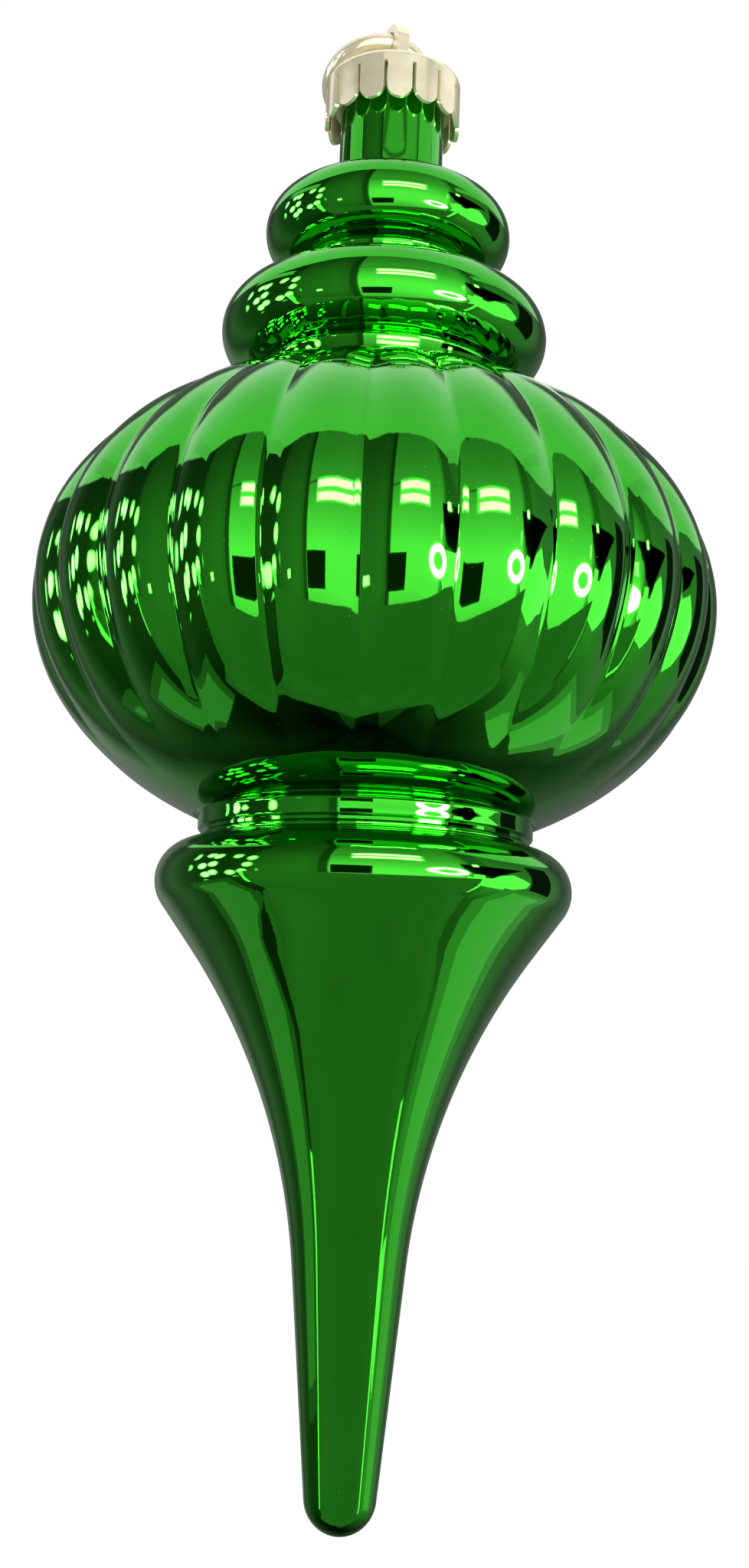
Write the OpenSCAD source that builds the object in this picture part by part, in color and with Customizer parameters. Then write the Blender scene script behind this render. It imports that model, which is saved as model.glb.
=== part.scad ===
// Hanging finial ornament: a blow-moulded body with a fluted bulb and a long spike,
// a crown cap over its neck, and a ring that hangs in the cap's eyelet.
// The origin is the centre of the eyelet's hole, with +Z up and a crease of the bulb facing -Y.

/* [Spike] */
// radius of the round tip
tip_radius = 6.5; // [3:0.5:10]
// radius of the spike where its straight taper ends
taper_radius = 10.3; // [7:0.1:14]
// height above the tip where the straight taper ends
taper_height = 45.9; // [30:0.1:60]
// radius of the concave curve that opens the spike
flare_curve = 115; // [80:1:160]
// steepest slope of the flare from the axis, in degrees
flare_angle = 36; // [28:1:45]
// largest radius of the shoulder above the spike
shoulder_radius = 38.7; // [34:0.1:44]
// radius of the shoulder's rounding
shoulder_round = 7.5; // [5:0.1:9]

/* [Collar] */
// radius of the flat band under the bulb
band_radius = 31.3; // [29:0.1:33]
// height of the flat band
band_height = 3.0; // [2:0.1:6]
// depth of the groove under the band
groove_depth = 1.0; // [0.5:0.1:2]
// height of the groove
groove_height = 0.9; // [0.5:0.1:2]
// radius of the thin bead between the groove and the shoulder
collar_bead = 0.8; // [0.5:0.1:1.5]

/* [Bulb] */
// largest radius of the bulb over its lobes
bulb_radius = 64.6; // [55:0.1:75]
// height from the widest place to where the upper curve would close
bulb_rise = 43.5; // [36:0.5:52]
// squareness of the upper curve, where 2 is an ellipse
bulb_squareness = 2.2; // [2:0.05:2.6]
// depth from the widest place to where the lower curve would close
bulb_drop = 47.6; // [40:0.1:56]
// number of lobes around the bulb
lobe_count = 24; // [16:1:32]
// depth of the creases between lobes at the widest place
crease_depth = 1.3; // [0.4:0.1:2]
// height under the widest place where the creases start to fade
fade_start = 14; // [5:1:25]
// height over which the creases fade out
fade_length = 16; // [8:1:24]

/* [Rings] */
// radius of the short cylinder on top of the bulb
lower_stem_radius = 23.9; // [21:0.1:27]
// height of the lower stem that shows under the large ring
lower_stem_height = 7.0; // [4:0.1:12]
// radius of the large ring's rounding
large_ring_round = 7.8; // [5:0.1:10]
// radius of the short cylinder between the rings
upper_stem_radius = 16.7; // [14:0.1:19]
// height of the upper stem that shows between the rings
upper_stem_height = 5.9; // [3:0.1:9]
// radius of the small ring's rounding
small_ring_round = 7.4; // [5:0.1:9]

/* [Neck] */
// outer radius of the neck
neck_radius = 10.3; // [9:0.1:12]
// height of the neck above the small ring
neck_height = 23.6; // [18:0.1:30]
// wall of the moulded body at its thinnest
body_wall = 1.5; // [1:0.1:2.5]

/* [Cap] */
// outer radius of the cap
cap_radius = 13.45; // [13:0.05:16]
// wall of the cap's skirt
cap_wall = 0.8; // [0.6:0.1:1]
// thickness of the cap's top plate
plate_thickness = 1.4; // [1:0.1:2.5]
// rounding of the cap's top edge
cap_edge_round = 1.2; // [0.5:0.1:1.4]
// height of the cap from the petal tips to the top
cap_height = 10.1; // [9:0.1:14]
// number of petals
petal_count = 15; // [10:1:18]
// width of the slit between two petals
slit_width = 0.6; // [0.4:0.05:1]
// distance from the cap's top down to the slits
slit_start = 2.6; // [2:0.1:4]
// angle of the first petal, in degrees
petal_turn = 7.5; // [-12:0.1:12]
// wall of the socket that grips the neck
socket_wall = 1.1; // [0.8:0.1:1.5]
// depth of the socket under the top plate
socket_depth = 5.0; // [3:0.1:7]
// clearance between the neck and the cap
neck_clearance = 0.1; // [0.05:0.05:0.3]

/* [Eyelet and ring] */
// height of the eyelet's hole above the cap
eyelet_height = 8.8; // [6:0.1:12]
// thickness of the eyelet
eyelet_thickness = 2.6; // [1.5:0.1:4]
// wall around the eyelet's hole
eyelet_wall = 1.5; // [1:0.1:2.5]
// radius of the round boss under the eyelet
boss_radius = 6.0; // [4.5:0.1:9]
// height of the boss
boss_height = 0.8; // [0.4:0.1:1.5]
// radius from the ring's centre to the middle of its rod
ring_radius = 9.4; // [8:0.1:12]
// radius of the ring's rod
rod_radius = 1.85; // [1:0.05:2.2]
// clearance around the rod in the eyelet's hole
rod_clearance = 0.3; // [0.2:0.05:0.6]
// angle of the ring below level, in degrees
ring_lean = 26; // [-80:1:30]
// direction in which the ring lies, in degrees from +X
ring_direction = 118; // [0:1:360]

/* [Hidden] */
// how finely the bulb and the curves are divided
columns_per_lobe = 6;
lower_rows = 12;
upper_rows = 18;
curve_steps = 16;
// overlap that joins two pieces of one solid
weld = 0.4;

tip_slope = (taper_radius - tip_radius) / (taper_height - tip_radius);
taper_angle = atan(tip_slope);
flare_z = taper_height + flare_curve * (sin(flare_angle) - sin(taper_angle));
flare_radius = taper_radius + flare_curve * (cos(taper_angle) - cos(flare_angle));
shoulder_centre = shoulder_radius - shoulder_round;
shoulder_z = flare_z + (shoulder_round - (flare_radius - shoulder_centre) * cos(flare_angle)) / sin(flare_angle);
bead_z = shoulder_z + shoulder_round;
band_z = bead_z + 2 * collar_bead + groove_height - weld;
bulb_z = band_z + band_height + bulb_drop * sqrt(1 - pow((band_radius + 1.1) / bulb_radius, 2));
bulb_foot = band_z + band_height;
bulb_top_radius = lower_stem_radius + 1.6;
bulb_head = bulb_z + bulb_rise * pow(1 - pow(bulb_top_radius / bulb_radius, 2), 1 / bulb_squareness);
large_ring_z = bulb_head + lower_stem_height + large_ring_round;
large_ring_centre = lower_stem_radius;
small_ring_z = large_ring_z + large_ring_round + upper_stem_height + small_ring_round;
small_ring_centre = upper_stem_radius;
neck_top = small_ring_z + small_ring_round + neck_height;
cap_top = neck_top + neck_clearance + plate_thickness;
hole_z = cap_top + eyelet_height;
petal_pitch = 2 * PI * (cap_radius - cap_wall / 2) / petal_count;
petal_width = petal_pitch - slit_width;
petal_round = petal_width / 2;
hole_radius = rod_radius + rod_clearance;
eyelet_radius = hole_radius + eyelet_wall;

// Radius of the bulb over its lobes at a height above or below its widest place.
function bulb_edge(h, radius, rise, drop) =
    radius * sqrt(max(0, 1 - (h >= 0 ? pow(h / rise, bulb_squareness) : pow(-h / drop, 2))));

// Depth of the creases at that height: they fade into the smooth underside.
function fade(h) = min(1, max(0, (h + fade_start + fade_length) / fade_length));
function crease(h) =
    crease_depth * pow(bulb_edge(h, bulb_radius, bulb_rise, bulb_drop) / bulb_radius, 0.7)
    * fade(h) * fade(h) * (3 - 2 * fade(h));

// Heights of the rows, close together where the bulb closes.
function bulb_rows(low, high) = concat(
    [for (i = [lower_rows : -1 : 1]) low * sin(90 * i / lower_rows)],
    [for (i = [0 : upper_rows]) high * sin(90 * i / upper_rows)]
);

module fluted_bulb() {
    rows = bulb_rows(bulb_foot - bulb_z, bulb_head - bulb_z);
    columns = lobe_count * columns_per_lobe;
    points = [
        for (h = rows)
            for (j = [0 : columns - 1])
                let (
                    across = abs(2 * ((j % columns_per_lobe) / columns_per_lobe) - 1),
                    r = bulb_edge(h, bulb_radius, bulb_rise, bulb_drop) - crease(h) * across * across,
                    a = 360 * j / columns
                )
                [r * cos(a), r * sin(a), bulb_z + h]
    ];
    last = len(rows) - 1;
    sides = [
        for (i = [0 : last - 1])
            for (j = [0 : columns - 1])
                for (half = [0, 1])
                    let (k = (j + 1) % columns)
                    half == 0
                        ? [i * columns + j, (i + 1) * columns + k, i * columns + k]
                        : [i * columns + j, (i + 1) * columns + j, (i + 1) * columns + k]
    ];
    foot = [[for (j = [0 : columns - 1]) j]];
    head = [[for (j = [columns - 1 : -1 : 0]) last * columns + j]];
    polyhedron(points = points, faces = concat(sides, foot, head), convexity = 6);
}

// Half section of everything but the bulb's lobes, drawn in by an inset for the hollow inside.
module spike_section(inset) {
    steps = curve_steps;
    foot_z = tip_radius;
    cone = [taper_radius - inset / cos(taper_angle), taper_height];
    curve = [
        for (i = [1 : steps])
            let (a = taper_angle + (flare_angle - taper_angle) * i / steps)
            [
                taper_radius + flare_curve * cos(taper_angle) - (flare_curve + inset) * cos(a),
                taper_height - flare_curve * sin(taper_angle) + (flare_curve + inset) * sin(a)
            ]
    ];
    touch = [
        shoulder_centre + (shoulder_round - inset) * cos(flare_angle),
        shoulder_z - (shoulder_round - inset) * sin(flare_angle)
    ];
    polygon(concat(
        [[0, foot_z], [tip_radius * 0.996 - inset, foot_z]],
        [cone],
        curve,
        [touch, [shoulder_centre, shoulder_z], [0, shoulder_z]]
    ));
    intersection() {
        translate([0, tip_radius]) circle(tip_radius - inset, $fn = 96);
        square([tip_radius, tip_radius + weld]);
    }
    translate([shoulder_centre, shoulder_z]) circle(shoulder_round - inset, $fn = 96);
    translate([0, shoulder_z - weld]) square([shoulder_centre, shoulder_round - inset + weld]);
}

module collar_section(inset) {
    translate([0, shoulder_z]) square([band_radius - groove_depth - inset, bulb_foot + weld - shoulder_z]);
    if (inset == 0) {
        translate([0, band_z]) square([band_radius, band_height + weld / 2]);
        translate([band_radius - groove_depth, bead_z + collar_bead * 0.6]) circle(collar_bead, $fn = 48);
    }
}

module ring_section(centre, height, rounding, inset) {
    translate([centre, height]) circle(rounding - inset, $fn = 96);
    translate([0, height - rounding + inset]) square([centre, 2 * (rounding - inset)]);
}

module stem_section(inset) {
    translate([0, bulb_head - weld - inset])
        square([lower_stem_radius - inset, large_ring_z - bulb_head + weld]);
    ring_section(large_ring_centre, large_ring_z, large_ring_round, inset);
    translate([0, large_ring_z])
        square([upper_stem_radius - inset, small_ring_z - large_ring_z]);
    ring_section(small_ring_centre, small_ring_z, small_ring_round, inset);
    translate([0, small_ring_z])
        square([neck_radius - inset, neck_top - small_ring_z + (inset > 0 ? weld : 0)]);
}

module bulb_section(inset) {
    low = bulb_foot - bulb_z;
    high = bulb_head - bulb_z - inset;
    rows = bulb_rows(low, high);
    polygon(concat(
        [[0, bulb_z + low]],
        [for (h = rows) [bulb_edge(h, bulb_radius - inset, bulb_rise - body_wall, bulb_drop - body_wall), bulb_z + h]],
        [[0, bulb_z + high]]
    ));
}

module ornament_body() {
    color([0.1, 0.5, 0.1])
    difference() {
        union() {
            fluted_bulb();
            rotate_extrude($fn = 144) {
                spike_section(0);
                collar_section(0);
            }
            rotate_extrude($fn = 144) stem_section(0);
        }
        rotate_extrude($fn = 144) {
            spike_section(body_wall);
            collar_section(body_wall);
            bulb_section(body_wall + crease_depth);
            stem_section(body_wall);
        }
    }
}

module petal_shape() {
    bottom = cap_top - cap_height;
    translate([0, bottom + petal_round]) circle(petal_round, $fn = 48);
    translate([-petal_round, bottom + petal_round])
        square([petal_width, cap_height - slit_start - petal_round + weld]);
}

module crown_cap() {
    color([0.8, 0.78, 0.68]) {
        skirt_inner = cap_radius - cap_wall;
        intersection() {
            translate([0, 0, cap_top - cap_height - weld])
            difference() {
                cylinder(r = cap_radius, h = cap_height, $fn = 120);
                translate([0, 0, -weld]) cylinder(r = skirt_inner, h = cap_height + 2 * weld, $fn = 120);
            }
            for (i = [0 : petal_count - 1])
                rotate([0, 0, petal_turn - 90 + i * 360 / petal_count])
                translate([skirt_inner - weld, 0, 0])
                rotate([90, 0, 90]) linear_extrude(cap_wall + 2 * weld) petal_shape();
        }
        rotate_extrude($fn = 120) {
            translate([skirt_inner, cap_top - slit_start])
                square([cap_wall, slit_start - cap_edge_round]);
            translate([0, cap_top - plate_thickness])
                square([cap_radius - cap_edge_round, plate_thickness]);
            intersection() {
                translate([cap_radius - cap_edge_round, cap_top - cap_edge_round])
                    circle(cap_edge_round, $fn = 48);
                translate([skirt_inner - weld, cap_top - plate_thickness])
                    square([cap_wall + 2 * weld, plate_thickness]);
            }
            translate([neck_radius + neck_clearance, cap_top - plate_thickness - socket_depth])
                square([socket_wall, socket_depth + weld]);
            translate([0, cap_top - weld]) square([boss_radius, boss_height + weld]);
        }
        rotate([0, 0, ring_direction])
        translate([0, eyelet_thickness / 2, hole_z])
        rotate([90, 0, 0])
        linear_extrude(eyelet_thickness)
        difference() {
            union() {
                circle(eyelet_radius, $fn = 72);
                translate([-eyelet_radius, -eyelet_height]) square([2 * eyelet_radius, eyelet_height]);
            }
            circle(hole_radius, $fn = 72);
        }
    }
}

module hanging_ring() {
    color([0.8, 0.78, 0.68])
    rotate([0, 0, ring_direction])
    translate([0, 0, hole_z])
    rotate([0, ring_lean, 0])
    translate([ring_radius, 0, 0])
    rotate_extrude($fn = 96) translate([ring_radius, 0]) circle(rod_radius, $fn = 48);
}

translate([0, 0, -hole_z]) {
    ornament_body();
    crown_cap();
    hanging_ring();
}
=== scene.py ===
"""Hanging finial ornament: the looks of its moulded body, its crown cap and its hanging ring."""

import math

import bpy
from mathutils import Matrix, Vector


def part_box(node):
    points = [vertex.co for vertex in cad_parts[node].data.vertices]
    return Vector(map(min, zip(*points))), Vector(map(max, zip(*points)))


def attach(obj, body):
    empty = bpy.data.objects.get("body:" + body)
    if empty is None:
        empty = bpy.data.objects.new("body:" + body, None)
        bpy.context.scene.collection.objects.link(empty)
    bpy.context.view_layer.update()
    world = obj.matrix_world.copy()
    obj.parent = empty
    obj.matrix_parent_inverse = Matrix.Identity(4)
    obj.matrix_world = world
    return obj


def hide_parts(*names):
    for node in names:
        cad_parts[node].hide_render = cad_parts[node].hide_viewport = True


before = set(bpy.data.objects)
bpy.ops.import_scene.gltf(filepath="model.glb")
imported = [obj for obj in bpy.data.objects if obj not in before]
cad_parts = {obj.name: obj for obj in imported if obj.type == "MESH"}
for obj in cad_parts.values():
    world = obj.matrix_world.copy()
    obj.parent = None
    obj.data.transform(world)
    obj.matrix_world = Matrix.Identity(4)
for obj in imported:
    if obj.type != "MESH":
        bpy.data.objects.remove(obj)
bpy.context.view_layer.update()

MM = 0.001

# Heights are in millimetres above the spike's tip, and TIP is where the tip is in the part's frame.
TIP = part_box("ornament_body")[0].z

TIP_RADIUS = 6.5
TAPER_RADIUS = 10.3
TAPER_HEIGHT = 45.9
FLARE_CURVE = 115.0
FLARE_ANGLE = 36.0
SHOULDER_RADIUS = 38.7
SHOULDER_ROUND = 7.5

BAND_RADIUS = 31.3
BAND_HEIGHT = 3.0
GROOVE_DEPTH = 1.0
GROOVE_HEIGHT = 0.9
COLLAR_BEAD = 0.8
BEAD_OVERLAP = 0.4

BULB_RADIUS = 64.5
BULB_RISE = 46.4
BULB_SQUARENESS = 2.0
BULB_DROP = 47.0
STEP_OVER_BAND = 1.1
STEP_OVER_STEM = 1.6
LOBE_COUNT = 24
CREASE_DEPTH = 2.3
FADE_START = 12.0
FADE_LENGTH = 27.0

LOWER_STEM_RADIUS = 23.6
LOWER_STEM_HEIGHT = 3.9
LARGE_RING_ROUND = 8.1
UPPER_STEM_RADIUS = 16.7
UPPER_STEM_HEIGHT = 5.75
SMALL_RING_ROUND = 7.4
NECK_RADIUS = 10.3
NECK_HEIGHT = 25.1
NECK_WALL = 1.5

# How the creases get shallower as the bulb gets narrower, and the depth too small to press in.
CREASE_NARROWING = 0.7
LEAST_CREASE = 0.002

# Columns of half a lobe, from its crest at 0 to the crease at 1, close together by the crease.
LOBE_COLUMNS = (0.25, 0.5, 0.7, 0.88, 0.94, 1.0)
CREASE_ROUND_START = 0.88

SMOOTH_UNDER = 40

# Cards that only the reflections show: the name, the azimuth in degrees with 0 towards the camera, the
# distance from the axis, the height above the tip, the width and the height in metres, and the strength.
DARK_CARD = ("dark_card", -3.5, 0.25, 0.100, 0.090, 0.078, 0.03)
BRIGHT_CARDS = (
    ("bright_strip_right", 66, 1.6, -0.45, 0.20, 1.3, 3.2),
    ("bright_strip_left", -65, 1.6, -0.45, 0.13, 0.75, 3.0),
    ("soft_band_right", 93, 0.12, 0.012, 0.05, 0.125, 0.9),
    ("soft_band_right_rim", 93, 0.125, 0.012, 0.085, 0.14, 0.55),
    ("soft_band_left", -80, 0.12, 0.03, 0.045, 0.08, 0.5),
    ("soft_band_left_rim", -80, 0.125, 0.03, 0.07, 0.10, 0.22),
    ("neck_glow_left", -82, 0.25, 0.394, 0.16, 0.045, 1.05),
    ("neck_glow_right", 82, 0.25, 0.394, 0.16, 0.045, 1.05),
)

# Patches that only the reflections show: the name, the strength, the reach in metres from the bulb's
# middle, and the corners as azimuths and elevations in degrees.
PATCHES = (
    ("upper_tube", 28, 0.5, ((-3.6, 25.0), (34.1, 25.0), (34.1, 29.2), (-3.6, 29.2))),
    ("lower_tube", 28, 0.5, ((-3.6, 18.0), (33.8, 18.0), (33.8, 22.3), (-3.6, 22.3))),
    ("tube_glow", 2.0, 0.52, ((-5, 16.7), (35.8, 16.7), (35.8, 30.5), (-5, 30.5))),
    ("neck_shade", 0.33, 3.6, ((-16, 29.5), (36, 29.5), (36, 31.0), (-16, 31.0))),
    ("dark_wedge", 0.0, 3.3, (
        (56, 22), (79, 20), (101, 17.5), (90, 13), (80, 5.5), (74.5, -2), (62, 5), (57.5, 13),
    )),
    ("dark_corner", 0.02, 3.3, ((105, 24), (124, 20), (124, -12), (104, -12))),
    ("bright_window", 2.5, 3.3, (
        (58, -4), (60, -13), (72, -21), (87, -21), (94, -16), (101, -10), (103, -1), (98, 3), (90, 9),
        (80, 4.5), (74.5, -3),
    )),
    ("small_lamp_right", 25, 3.2, ((64.5, 22.5), (64.5, 18.5), (68, 18.5), (68, 22.5))),
    ("narrow_lamp_right", 12, 3.2, ((53.7, 11.5), (53.7, 5), (55.2, 5), (55.2, 11.5))),
    ("small_lamp_left", 16, 3.2, ((-45.5, -13.5), (-45.5, -17.5), (-41.5, -17.5), (-41.5, -13.5))),
)

taper_angle = math.degrees(math.atan((TAPER_RADIUS - TIP_RADIUS) / (TAPER_HEIGHT - TIP_RADIUS)))
flare_centre_radius = TAPER_RADIUS + FLARE_CURVE * math.cos(math.radians(taper_angle))
flare_centre_height = TAPER_HEIGHT - FLARE_CURVE * math.sin(math.radians(taper_angle))
flare_top_radius = flare_centre_radius - FLARE_CURVE * math.cos(math.radians(FLARE_ANGLE))
flare_top_height = flare_centre_height + FLARE_CURVE * math.sin(math.radians(FLARE_ANGLE))
shoulder_centre = SHOULDER_RADIUS - SHOULDER_ROUND
shoulder_height = flare_top_height + (
    SHOULDER_ROUND - (flare_top_radius - shoulder_centre) * math.cos(math.radians(FLARE_ANGLE))
) / math.sin(math.radians(FLARE_ANGLE))
bead_height = shoulder_height + SHOULDER_ROUND
band_foot = bead_height + 2 * COLLAR_BEAD + GROOVE_HEIGHT - BEAD_OVERLAP
bulb_foot = band_foot + BAND_HEIGHT
bulb_middle = bulb_foot + BULB_DROP * math.sqrt(1 - ((BAND_RADIUS + STEP_OVER_BAND) / BULB_RADIUS) ** 2)
bulb_top_radius = LOWER_STEM_RADIUS + STEP_OVER_STEM
bulb_head = bulb_middle + BULB_RISE * (1 - (bulb_top_radius / BULB_RADIUS) ** 2) ** (1 / BULB_SQUARENESS)
large_ring_height = bulb_head + LOWER_STEM_HEIGHT + LARGE_RING_ROUND
small_ring_height = large_ring_height + LARGE_RING_ROUND + UPPER_STEM_HEIGHT + SMALL_RING_ROUND
neck_top = small_ring_height + SMALL_RING_ROUND + NECK_HEIGHT


def bulb_edge(height):
    """Radius of the bulb over its lobes, at a height above or below its widest place."""
    if height >= 0:
        share = (height / BULB_RISE) ** BULB_SQUARENESS
    else:
        share = (height / BULB_DROP) ** 2
    return BULB_RADIUS * math.sqrt(max(0.0, 1 - share))


def crease(height):
    """Depth of the creases there. They fade into the smooth underside."""
    fade = min(1.0, max(0.0, (height + FADE_START + FADE_LENGTH) / FADE_LENGTH))
    narrowing = (bulb_edge(height) / BULB_RADIUS) ** CREASE_NARROWING
    return CREASE_DEPTH * narrowing * fade * fade * (3 - 2 * fade)


def lobe_fall(across):
    """How far a lobe has fallen from its crest, as a share of the crease's depth. The crease is rounded."""
    if across <= CREASE_ROUND_START:
        return across * across
    steepest = 2 * CREASE_ROUND_START
    run = across - CREASE_ROUND_START
    width = 1 - CREASE_ROUND_START
    return CREASE_ROUND_START ** 2 + steepest * (run - run * run / (2 * width))


def arc(centre, height, radius, start, end, steps):
    """Points of the section on an arc, with its angles in degrees from the outward direction."""
    points = []
    for step in range(steps + 1):
        angle = math.radians(start + (end - start) * step / steps)
        points.append((centre + radius * math.cos(angle), height + radius * math.sin(angle)))
    return points


def between(first, last, steps):
    """Points of the section on a straight stretch, both ends left out."""
    points = []
    for step in range(1, steps):
        share = step / steps
        points.append((
            first[0] + (last[0] - first[0]) * share,
            first[1] + (last[1] - first[1]) * share,
        ))
    return points


def spike_section():
    """The section from the tip up the taper and the flare to the top of the shoulder."""
    points = [(0.0, 0.0)]
    points += arc(0, TIP_RADIUS, TIP_RADIUS, -90, -taper_angle, 14)[1:]
    points += between(points[-1], (TAPER_RADIUS, TAPER_HEIGHT), 6)
    steps = 26
    for step in range(steps + 1):
        angle = math.radians(taper_angle + (FLARE_ANGLE - taper_angle) * step / steps)
        points.append((
            flare_centre_radius - FLARE_CURVE * math.cos(angle),
            flare_centre_height + FLARE_CURVE * math.sin(angle),
        ))
    shoulder = arc(shoulder_centre, shoulder_height, SHOULDER_ROUND, -FLARE_ANGLE, 84, 24)
    points += between(points[-1], shoulder[0], 2)
    points += shoulder
    return points


def collar_section():
    """The bead, the groove and the band between the shoulder and the bulb."""
    groove = BAND_RADIUS - GROOVE_DEPTH
    bead_middle = bead_height + COLLAR_BEAD * 0.75
    bead_round = COLLAR_BEAD * 0.9
    under_bead = (0.45, 0.02)
    over_bead = 0.12
    under_band = 0.15
    soft = 0.35
    band_end = 0.5
    hollow_start = 0.45
    hollow_round = 0.8
    bead = arc(groove, bead_middle, bead_round, -75, 80, 7)
    points = [(groove + under_bead[0], bead_height + under_bead[1])]
    points += bead
    points += [(groove, bead[-1][1] + over_bead), (groove, band_foot - under_band)]
    points += arc(BAND_RADIUS - soft, band_foot + soft, soft, -90, 0, 4)
    points += between(points[-1], (BAND_RADIUS, bulb_foot - band_end), 2)
    points += arc(BAND_RADIUS + hollow_round, bulb_foot - hollow_start, hollow_round, 180, 115, 4)
    return points


def bulb_heights():
    """Heights of the bulb's rows from its middle, evenly spread round the section's curve."""
    lower_rows = 34
    upper_rows = 48
    lower_turn = math.asin((bulb_middle - bulb_foot) / BULB_DROP)
    upper_turn = math.asin(((bulb_head - bulb_middle) / BULB_RISE) ** (BULB_SQUARENESS / 2))
    rows = [-BULB_DROP * math.sin(lower_turn * i / lower_rows) for i in range(lower_rows, 0, -1)]
    for i in range(upper_rows):
        rows.append(BULB_RISE * math.sin(upper_turn * i / upper_rows) ** (2 / BULB_SQUARENESS))
    return rows


def ring_section(centre, height, rounding, below, above):
    """A ring's rounding, with the soft inner corners where it meets the stems below and above it."""
    soft = 0.9
    points = arc(below + soft, height - rounding - soft, soft, 180, 90, 5)
    points += arc(centre, height, rounding, -86, 90, 34)
    points += between(points[-1], (above + soft, height + rounding), 3)
    points += arc(above + soft, height + rounding + soft, soft, -90, -180, 5)
    return points


def stem_section():
    """The section from the bulb's top over both rings and the neck, and down inside the neck."""
    soft = 1.5
    soft_height = 1.2
    points = arc(LOWER_STEM_RADIUS + soft, bulb_head + soft_height, soft, -120, -180, 6)
    points += ring_section(
        LOWER_STEM_RADIUS, large_ring_height, LARGE_RING_ROUND, LOWER_STEM_RADIUS, UPPER_STEM_RADIUS
    )
    points += ring_section(
        UPPER_STEM_RADIUS, small_ring_height, SMALL_RING_ROUND, UPPER_STEM_RADIUS, NECK_RADIUS
    )
    rim = 0.5
    neck_depth = 15
    points += between(points[-1], (NECK_RADIUS, neck_top - rim), 4)
    points += arc(NECK_RADIUS - rim, neck_top - rim, rim, 0, 90, 4)
    inside = NECK_RADIUS - NECK_WALL
    points += arc(inside + rim, neck_top - rim, rim, 90, 180, 4)
    points += [(inside, neck_top - neck_depth), (0.0, neck_top - neck_depth)]
    return points


def deselect_all():
    bpy.ops.object.select_all(action="DESELECT")


def draw_section(name, points):
    """Extrudes a chain of edges along a section in the XZ plane, and leaves it in edit mode."""
    deselect_all()
    first = points[0]
    bpy.ops.mesh.primitive_plane_add(size=MM, location=(first[0] * MM, 0, TIP + first[1] * MM))
    piece = bpy.context.object
    piece.name = name
    piece.data.name = name
    bpy.ops.object.transform_apply(location=True, rotation=True, scale=True)
    bpy.ops.object.mode_set(mode="EDIT")
    bpy.context.tool_settings.mesh_select_mode = (True, False, False)
    bpy.ops.mesh.select_all(action="SELECT")
    bpy.ops.mesh.merge(type="CENTER")
    for here, there in zip(points, points[1:]):
        step = ((there[0] - here[0]) * MM, 0, (there[1] - here[1]) * MM)
        bpy.ops.mesh.extrude_vertices_move(TRANSFORM_OT_translate={"value": step})
    return piece


def mould_body():
    """Sweeps the section over half a lobe, presses the crease in, and copies the lobe round the axis."""
    heights = bulb_heights()
    bulb = [(bulb_edge(h), bulb_middle + h) for h in heights]
    piece = draw_section("moulded_body", spike_section() + collar_section() + bulb + stem_section())
    half_lobe = math.pi / LOBE_COUNT
    row_tolerance = 0.05 * MM
    angle_tolerance = 1e-3
    merge_distance = 1e-6
    off_plane = 1e-5
    bpy.ops.mesh.select_all(action="SELECT")
    before = 0.0
    for column in LOBE_COLUMNS:
        bpy.ops.mesh.extrude_edges_move(TRANSFORM_OT_translate={"value": (0, 0, 0)})
        bpy.ops.transform.rotate(
            value=-(column - before) * half_lobe, orient_axis="Z", center_override=(0, 0, 0)
        )
        before = column
    bpy.ops.object.mode_set(mode="OBJECT")
    places = [vertex.co.copy() for vertex in piece.data.vertices]
    side = 1 if max(place.y for place in places) > off_plane else -1
    bpy.ops.object.mode_set(mode="EDIT")
    bpy.ops.mesh.select_all(action="DESELECT")
    for height in heights:
        depth = crease(height)
        radius = bulb_edge(height)
        if depth < LEAST_CREASE:
            continue
        level = TIP + (bulb_middle + height) * MM
        row = [index for index, place in enumerate(places) if abs(place.z - level) < row_tolerance]
        for column in LOBE_COLUMNS:
            angle = side * column * half_lobe
            bpy.ops.object.mode_set(mode="OBJECT")
            for index in row:
                place = places[index]
                turned = math.atan2(place.y, place.x)
                piece.data.vertices[index].select = abs(turned - angle) < angle_tolerance
            bpy.ops.object.mode_set(mode="EDIT")
            drawn = (radius - depth * lobe_fall(column)) / radius
            bpy.ops.transform.resize(value=(drawn, drawn, 1), center_override=(0, 0, TIP))
            bpy.ops.mesh.select_all(action="DESELECT")
    bpy.ops.mesh.select_all(action="SELECT")
    bpy.ops.mesh.duplicate()
    bpy.ops.transform.resize(value=(1, -1, 1), center_override=(0, 0, 0))
    bpy.ops.mesh.select_all(action="SELECT")
    bpy.ops.transform.rotate(value=half_lobe, orient_axis="Z", center_override=(0, 0, 0))
    bpy.ops.mesh.spin(
        steps=LOBE_COUNT - 1,
        dupli=True,
        angle=2 * math.pi * (LOBE_COUNT - 1) / LOBE_COUNT,
        center=(0, 0, 0),
        axis=(0, 0, 1),
    )
    bpy.ops.mesh.select_all(action="SELECT")
    bpy.ops.mesh.remove_doubles(threshold=merge_distance)
    bpy.ops.mesh.normals_make_consistent(inside=False)
    bpy.ops.object.mode_set(mode="OBJECT")
    bpy.ops.object.shade_smooth_by_angle(angle=math.radians(SMOOTH_UNDER))
    return piece


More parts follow.
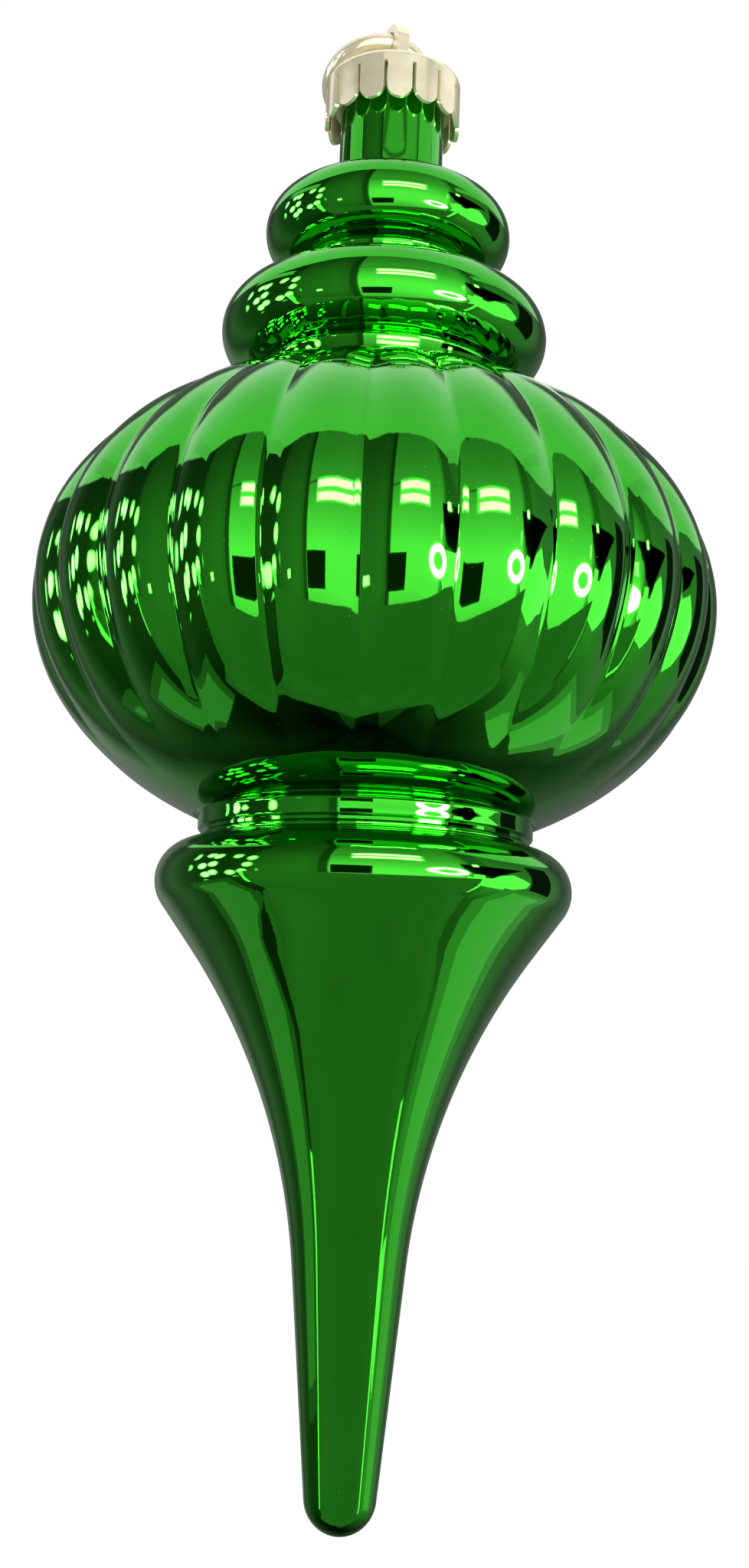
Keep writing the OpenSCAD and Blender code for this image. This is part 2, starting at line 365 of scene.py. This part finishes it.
class Finish:
    """A new material and the node links that its finish is made from."""

    def __init__(self, name):
        self.material = bpy.data.materials.new(name)
        self.material.use_nodes = True
        self.nodes = self.material.node_tree.nodes
        self.links = self.material.node_tree.links
        self.shader = self.nodes["Principled BSDF"]
        self.place = None

    def add(self, kind, **values):
        """Adds a node, with its settings and its sockets' values by name."""
        node = self.nodes.new(kind)
        for key, value in values.items():
            if key in node.bl_rna.properties:
                setattr(node, key, value)
            else:
                node.inputs[key.replace("_", " ")].default_value = value
        return node

    def join(self, output, node, socket):
        self.links.new(output, node.inputs[socket])

    def object_place(self):
        """The place on the object, from one node that the whole finish shares."""
        if self.place is None:
            self.place = self.add("ShaderNodeTexCoord").outputs["Object"]
        return self.place

    def noise(self, scale, detail=3.0, roughness=0.5):
        node = self.add("ShaderNodeTexNoise", Scale=scale, Detail=detail, Roughness=roughness)
        self.join(self.object_place(), node, "Vector")
        return node.outputs["Fac"]

    def ranged(self, value, low, high, to_low, to_high):
        """The value moved from one range to another, and held inside it."""
        node = self.add("ShaderNodeMapRange", From_Min=low, From_Max=high, To_Min=to_low, To_Max=to_high)
        self.join(value, node, "Value")
        return node.outputs["Result"]

    def sums(self, operation, first, second):
        """A sum of two terms, each a number or a node's output."""
        node = self.add("ShaderNodeMath", operation=operation)
        for socket, value in enumerate((first, second)):
            if isinstance(value, (int, float)):
                node.inputs[socket].default_value = value
            else:
                self.links.new(value, node.inputs[socket])
        return node.outputs[0]

    def bump(self, height, strength, distance, under=None):
        node = self.add("ShaderNodeBump", Strength=strength, Distance=distance)
        self.join(height, node, "Height")
        if under is not None:
            self.join(under, node, "Normal")
        return node.outputs["Normal"]

    def emit(self, strength):
        """Turns the material into a plain glow, with a number or a node's output for its strength."""
        glow = self.add("ShaderNodeEmission")
        if isinstance(strength, (int, float)):
            glow.inputs["Strength"].default_value = strength
        else:
            self.join(strength, glow, "Strength")
        self.links.new(glow.outputs[0], self.nodes["Material Output"].inputs["Surface"])


def green_metallised():
    """Mirror-bright green metallising on moulded plastic, faintly uneven, with fine dust on it."""
    finish = Finish("green_metallised")
    shader = finish.shader
    shader.inputs["Metallic"].default_value = 1.0
    shader.inputs["Coat Weight"].default_value = 0.35
    shader.inputs["Coat Roughness"].default_value = 0.03
    tone = finish.ranged(finish.noise(26.0, 2.0), 0.3, 0.7, 0.0, 1.0)
    colours = finish.add("ShaderNodeValToRGB")
    colours.color_ramp.elements[0].color = (0.018, 0.37, 0.005, 1)
    colours.color_ramp.elements[1].color = (0.022, 0.42, 0.008, 1)
    finish.join(tone, colours, "Fac")
    finish.join(colours.outputs["Color"], shader, "Base Color")
    gloss = finish.ranged(finish.noise(60.0, 3.0), 0.3, 0.7, 0.03, 0.05)
    dust = finish.ranged(finish.noise(2600.0, 1.0), 0.78, 0.82, 0.0, 0.5)
    finish.join(finish.sums("ADD", gloss, dust), shader, "Roughness")
    wavy = finish.bump(finish.noise(42.0, 2.0), 0.035, 0.0006)
    pebbled = finish.bump(finish.noise(800.0, 1.0), 0.015, 0.0002, wavy)
    finish.join(pebbled, shader, "Normal")
    return finish.material


def champagne_metallised(name, gloss_low, gloss_high):
    """Champagne silver metallising, pearly and softer than the body's, with fine handling marks."""
    finish = Finish(name)
    shader = finish.shader
    shader.inputs["Metallic"].default_value = 0.5
    shader.inputs["Coat Weight"].default_value = 0.1
    shader.inputs["Coat Roughness"].default_value = 0.08
    tone = finish.ranged(finish.noise(180.0, 3.0), 0.3, 0.7, 0.0, 1.0)
    colours = finish.add("ShaderNodeValToRGB")
    colours.color_ramp.elements[0].color = (0.70, 0.64, 0.44, 1)
    colours.color_ramp.elements[1].color = (0.80, 0.74, 0.53, 1)
    finish.join(tone, colours, "Fac")
    finish.join(colours.outputs["Color"], shader, "Base Color")
    gloss = finish.ranged(finish.noise(420.0, 3.0), 0.3, 0.7, gloss_low, gloss_high)
    finish.join(gloss, shader, "Roughness")
    wavy = finish.bump(finish.noise(240.0, 2.0), 0.08, 0.0004)
    marks = finish.bump(finish.noise(2200.0, 2.0), 0.03, 0.0001, wavy)
    finish.join(marks, shader, "Normal")
    return finish.material


def dress(piece, material):
    """Gives a modelled piece its one material."""
    piece.data.materials.clear()
    piece.data.materials.append(material)


def dress_node(name, material):
    """Gives a node of the solid model its finish, in each of its material slots."""
    node = bpy.data.objects[name]
    for holder in node.material_slots:
        holder.material = material


def set_camera():
    """The photograph's camera: close by, level with the spike, tilted up and a little rolled.

    The distance and height are in metres, and the angles in radians. The focal length and the frame's
    height are in the photograph's pixels.
    """
    distance = 0.32667
    height = 0.08155
    turn = math.radians(2.55)
    sideways = 0.0042677
    tilt = 0.1602949
    roll = 0.0375178
    sensor_height = 24
    focal_pixels = 2294.04
    frame_pixels = 2048
    turned = (
        Matrix.Rotation(turn - sideways, 3, "Z")
        @ Matrix.Rotation(math.pi / 2 + tilt, 3, "X")
        @ Matrix.Rotation(roll, 3, "Z")
    )
    deselect_all()
    bpy.ops.object.camera_add(
        location=(distance * math.sin(turn), -distance * math.cos(turn), TIP + height),
        rotation=turned.to_euler(),
    )
    camera = bpy.context.object
    camera.name = "camera"
    camera.data.sensor_fit = "VERTICAL"
    camera.data.sensor_height = sensor_height
    camera.data.lens = sensor_height * (focal_pixels / frame_pixels)
    camera.data.clip_start = 0.01
    camera.data.clip_end = 50
    bpy.context.scene.camera = camera


def stage_floor():
    """A white floor well below the tip, which catches the soft shadow."""
    floor_drop = 0.22
    deselect_all()
    bpy.ops.mesh.primitive_circle_add(
        vertices=96, radius=9, fill_type="NGON", location=(0, 0, TIP - floor_drop)
    )
    floor = bpy.context.object
    floor.name = "floor"
    finish = Finish("white_floor")
    finish.shader.inputs["Base Color"].default_value = (1.0, 1.0, 1.0, 1)
    finish.shader.inputs["Roughness"].default_value = 0.9
    finish.shader.inputs["Specular IOR Level"].default_value = 0.0
    dress(floor, finish.material)
    floor.visible_glossy = False


def direction_of(finish):
    """Elevation and azimuth in degrees of the room's surface, with azimuth 0 towards the camera."""
    offset = finish.add("ShaderNodeVectorMath", operation="NORMALIZE")
    finish.links.new(finish.object_place(), offset.inputs[0])
    parts = finish.add("ShaderNodeSeparateXYZ")
    finish.links.new(offset.outputs[0], parts.inputs[0])
    rise = finish.sums("ARCSINE", parts.outputs["Z"], 0.0)
    elevation = finish.sums("MULTIPLY", rise, 180 / math.pi)
    toward = finish.sums("MULTIPLY", parts.outputs["Y"], -1.0)
    turn = finish.sums("ARCTAN2", parts.outputs["X"], toward)
    azimuth = finish.sums("MULTIPLY", turn, 180 / math.pi)
    return elevation, azimuth


def graded(finish, value, low, high, stops):
    """A grey that follows a value through a list of stops."""
    share = finish.ranged(value, low, high, 0.0, 1.0)
    node = finish.add("ShaderNodeValToRGB")
    ramp = node.color_ramp
    for number, (place, grey) in enumerate(stops):
        spot = (place - low) / (high - low)
        stop = ramp.elements[number] if number < 2 else ramp.elements.new(spot)
        stop.position = spot
        stop.color = (grey, grey, grey, 1)
    finish.join(share, node, "Fac")
    return node.outputs["Color"]


def inside_band(finish, value, low, high, soft):
    """1 where the value lies between two limits, with soft edges."""
    rising = finish.ranged(value, low - soft, low + soft, 0.0, 1.0)
    falling = finish.ranged(value, high - soft, high + soft, 1.0, 0.0)
    return finish.sums("MULTIPLY", rising, falling)


def only_in_reflections(piece):
    """Stages a piece that only the mirror-bright surfaces see."""
    piece.visible_camera = False
    piece.visible_diffuse = False
    piece.visible_transmission = False
    piece.visible_shadow = False


def wall_light(finish, elevation, azimuth):
    """Walls from dark to pale round the room. They fall off upwards, the pale side more than the rest."""
    walls = graded(finish, azimuth, -180.0, 180.0, (
        (-180, 0.10), (-150, 0.22), (-138, 0.08), (-124, 0.16), (-110, 0.10), (-92, 0.07),
        (-64, 0.09), (-58, 0.24), (-30, 0.32), (-22.5, 0.26), (-21.5, 0.13), (-16.5, 0.13),
        (-15.5, 1.0), (56, 1.0), (61, 0.62), (63, 0.3), (73, 0.3), (75, 0.46), (104, 0.34),
        (126, 0.28), (140, 0.10), (160, 0.14), (180, 0.10),
    ))
    fall_off = graded(finish, elevation, -90.0, 90.0, (
        (-90, 0.05), (-76, 0.10), (-50, 0.5), (-24, 1.25), (0, 1.25), (14, 1.1), (30, 0.85),
        (48, 0.55), (62, 0.42),
    ))
    steeper = graded(finish, elevation, -90.0, 90.0, (
        (-90, 1.5), (-5, 1.75), (10, 1.4), (30, 1.0), (50, 1.0), (90, 1.0),
    ))
    pale_side = inside_band(finish, azimuth, -16, 57, 1)
    extra = finish.sums("MULTIPLY", pale_side, finish.sums("SUBTRACT", steeper, 1.0))
    falling = finish.sums("MULTIPLY", walls, fall_off)
    return finish.sums("MULTIPLY", falling, finish.sums("ADD", 1.0, extra))


def ceiling_share(finish, elevation, azimuth):
    """1 on the ceiling and 0 on the walls. The edge's stops are shares of the way up to the zenith."""
    edge = graded(finish, azimuth, -180.0, 180.0, (
        (-180, 0.28), (-140, 0.30), (-116, 0.38), (-93, 0.445), (-75, 0.50), (-65, 0.55), (-52, 0.622),
        (-40, 0.667), (-20, 0.698), (5, 0.711), (25, 0.694), (40, 0.672), (57, 0.617), (68, 0.533),
        (77, 0.467), (91, 0.378), (104, 0.333), (116, 0.289), (135, 0.25), (180, 0.28),
    ))
    over_edge = finish.sums("SUBTRACT", elevation, finish.sums("MULTIPLY", edge, 90.0))
    return finish.ranged(over_edge, -0.4, 0.4, 0.0, 1.0)


def ceiling_light(finish, elevation, azimuth):
    """The bright ceiling, with a dark stretch high up on either side behind the ornament."""
    glow = graded(finish, elevation, 0.0, 90.0, ((0, 1.1), (62, 1.22), (90, 1.1)))
    turned_away = finish.sums("ABSOLUTE", azimuth, 0.0)
    behind = inside_band(finish, turned_away, 136, 168, 3)
    dark = finish.sums("MULTIPLY", behind, finish.ranged(elevation, 49.0, 55.0, 1.0, 0.0))
    return finish.sums("MULTIPLY", glow, finish.ranged(dark, 0.0, 1.0, 1.0, 0.12))


def speck_light(finish, elevation, azimuth):
    """Small bright lights on the left, one in about half of the cells, upright like the cells."""
    cell_width = 11.0
    cell_height = 15.0
    strength = 16.0
    cell = finish.add("ShaderNodeCombineXYZ")
    finish.join(finish.sums("MULTIPLY", azimuth, 1 / cell_width), cell, "X")
    finish.join(finish.sums("MULTIPLY", elevation, 1 / cell_height), cell, "Y")
    specks = finish.add("ShaderNodeTexVoronoi", voronoi_dimensions="2D", Scale=1.0, Randomness=0.75)
    finish.join(cell.outputs[0], specks, "Vector")
    dots = finish.ranged(specks.outputs["Distance"], 0.22, 0.34, strength, 0.0)
    chance = finish.ranged(specks.outputs["Color"], 0.0, 1.0, 0.0, 1.0)
    chosen = finish.sums("MULTIPLY", dots, finish.sums("GREATER_THAN", chance, 0.45))
    across = inside_band(finish, azimuth, -103, -58, 3)
    upright = inside_band(finish, elevation, -16, 26, 2)
    return finish.sums("MULTIPLY", chosen, finish.sums("MULTIPLY", across, upright))


def stage_room():
    """What the mirror-bright finish reflects: a bright ceiling over walls with small lights."""
    deselect_all()
    bpy.ops.mesh.primitive_uv_sphere_add(
        segments=96, ring_count=48, radius=4.0, location=(0, 0, TIP + bulb_middle * MM)
    )
    room = bpy.context.object
    room.name = "room"
    bpy.ops.object.shade_smooth()
    finish = Finish("dim_room")
    elevation, azimuth = direction_of(finish)
    ceiling = ceiling_share(finish, elevation, azimuth)
    above = finish.sums("MULTIPLY", ceiling, ceiling_light(finish, elevation, azimuth))
    below = finish.sums(
        "MULTIPLY", finish.sums("SUBTRACT", 1.0, ceiling), wall_light(finish, elevation, azimuth)
    )
    specks = speck_light(finish, elevation, azimuth)
    finish.emit(finish.sums("ADD", finish.sums("ADD", above, below), specks))
    dress(room, finish.material)
    only_in_reflections(room)


def plain_glow(name, strength):
    finish = Finish(name)
    finish.emit(strength)
    return finish.material


def flat_shape(name, places):
    """A flat face with its corners at the given places."""
    deselect_all()
    bpy.ops.mesh.primitive_circle_add(vertices=len(places), radius=1, fill_type="NGON")
    shape = bpy.context.object
    shape.name = name
    for corner, place in zip(shape.data.vertices, places):
        corner.co = place
    return shape


def stage_card(name, azimuth, distance, height, width, tall, strength):
    """An upright card facing the axis, with its middle at a height above the tip."""
    turn = math.radians(azimuth)
    deselect_all()
    bpy.ops.mesh.primitive_plane_add(
        size=1,
        location=(distance * math.sin(turn), -distance * math.cos(turn), TIP + height),
        rotation=(math.pi / 2, 0, turn),
    )
    card = bpy.context.object
    card.name = name
    card.scale = (width, tall, 1)
    dress(card, plain_glow(name, strength))
    only_in_reflections(card)


def stage_patch(name, strength, reach, corners):
    """A flat patch with its corners at azimuths and elevations from the bulb's middle."""
    places = []
    for azimuth, elevation in corners:
        turn = math.radians(azimuth)
        rise = math.radians(elevation)
        places.append((
            reach * math.cos(rise) * math.sin(turn),
            -reach * math.cos(rise) * math.cos(turn),
            TIP + bulb_middle * MM + reach * math.sin(rise),
        ))
    patch = flat_shape(name, places)
    dress(patch, plain_glow(name, strength))
    only_in_reflections(patch)


def stage_board():
    """A mid-tone board in front and below, which the spike and the bulb's underside reflect."""
    board_front = -0.18
    corners = (
        (-0.335, 0.076), (0.40, 0.076), (0.40, -0.28), (0.86, -0.86), (0.86, -1.0),
        (-0.86, -1.0), (-0.86, -0.98), (-0.37, -0.30),
    )
    board = flat_shape("mid_board", [(across, board_front, TIP + height) for across, height in corners])
    finish = Finish("mid_board")
    finish.emit(finish.ranged(finish.noise(2.2, 2.0), 0.3, 0.7, 0.27, 0.37))
    dress(board, finish.material)
    only_in_reflections(board)


def stage_ring_lamp():
    """A bright ring lamp in front, to the right."""
    deselect_all()
    bpy.ops.mesh.primitive_torus_add(
        major_radius=0.046,
        minor_radius=0.014,
        major_segments=48,
        minor_segments=8,
        location=(0.21, -0.21, TIP + 0.134),
        rotation=(math.pi / 2, 0, math.radians(45)),
    )
    lamp = bpy.context.object
    lamp.name = "ring_lamp"
    lamp.scale = (1, 0.62, 0.3)
    dress(lamp, plain_glow("ring_lamp", 80))
    only_in_reflections(lamp)


def stage_key():
    """A weak soft light from above the camera's right, which isn't seen in reflections."""
    deselect_all()
    bpy.ops.object.light_add(
        type="AREA", location=(0.6, -0.9, 0.8), rotation=(math.radians(45), 0, math.radians(33))
    )
    key = bpy.context.object
    key.name = "soft_key"
    key.data.size = 0.8
    key.data.energy = 6
    key.visible_glossy = False


def set_world():
    """A plain white surround, which also gives the soft light."""
    world = bpy.data.worlds.new("white_surround")
    bpy.context.scene.world = world
    world.use_nodes = True
    surround = world.node_tree.nodes["Background"]
    surround.inputs["Color"].default_value = (1, 1, 1, 1)
    surround.inputs["Strength"].default_value = 1.0


set_camera()

body = mould_body()
dress(body, green_metallised())
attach(body, "root")
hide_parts("ornament_body")

dress_node("crown_cap", champagne_metallised("champagne_metallised", 0.12, 0.18))
dress_node("hanging_ring", champagne_metallised("ring_metallised", 0.12, 0.20))

stage_floor()
stage_room()
stage_board()
stage_ring_lamp()
stage_card(*DARK_CARD)
for patch in PATCHES:
    stage_patch(*patch)
for card in BRIGHT_CARDS:
    stage_card(*card)
stage_key()
set_world()
bpy.context.scene.view_settings.view_transform = "Standard"
